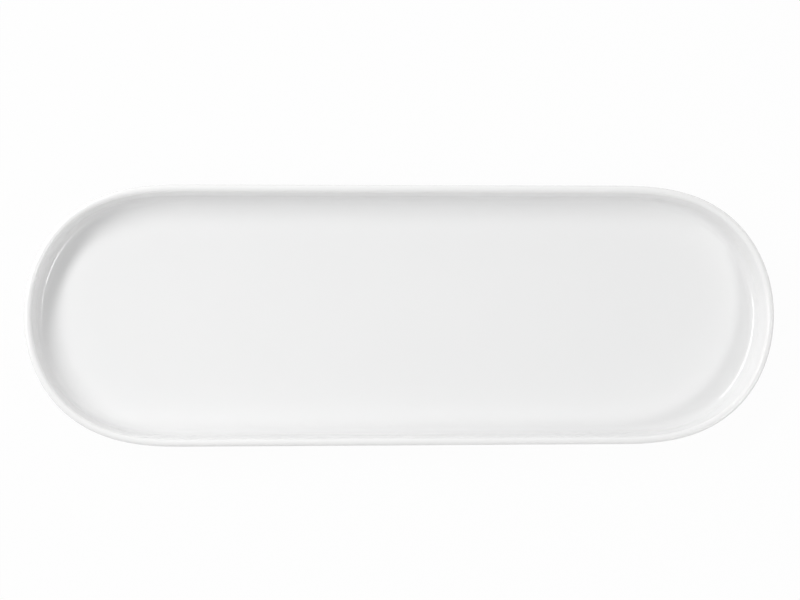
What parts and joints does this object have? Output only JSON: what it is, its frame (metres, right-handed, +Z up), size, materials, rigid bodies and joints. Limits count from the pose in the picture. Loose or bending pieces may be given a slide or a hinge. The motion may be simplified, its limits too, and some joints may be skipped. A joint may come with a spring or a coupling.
{
  "type": "oval serving platter",
  "caption": "Long oval serving platter in glossy white porcelain, with straight sides, round ends, a low upright wall, a flat serving floor and a bare foot ring.",
  "frame": {"origin": "on the table under the middle of the platter, in the plane of the foot ring's standing face", "axes": "+X along the length, +Y across the width, +Z up out of the serving side"},
  "size_m": [0.4, 0.1386, 0.024],
  "materials": {
    "biscuit": "bare fired porcelain, matt and sanded smooth",
    "glaze": "clear gloss glaze on white porcelain"
  },
  "bodies": {
    "root": {"porcelain_body": "biscuit", "glaze_coat": "glaze", "underside_glaze": "glaze"}
  },
  "joints": []
}
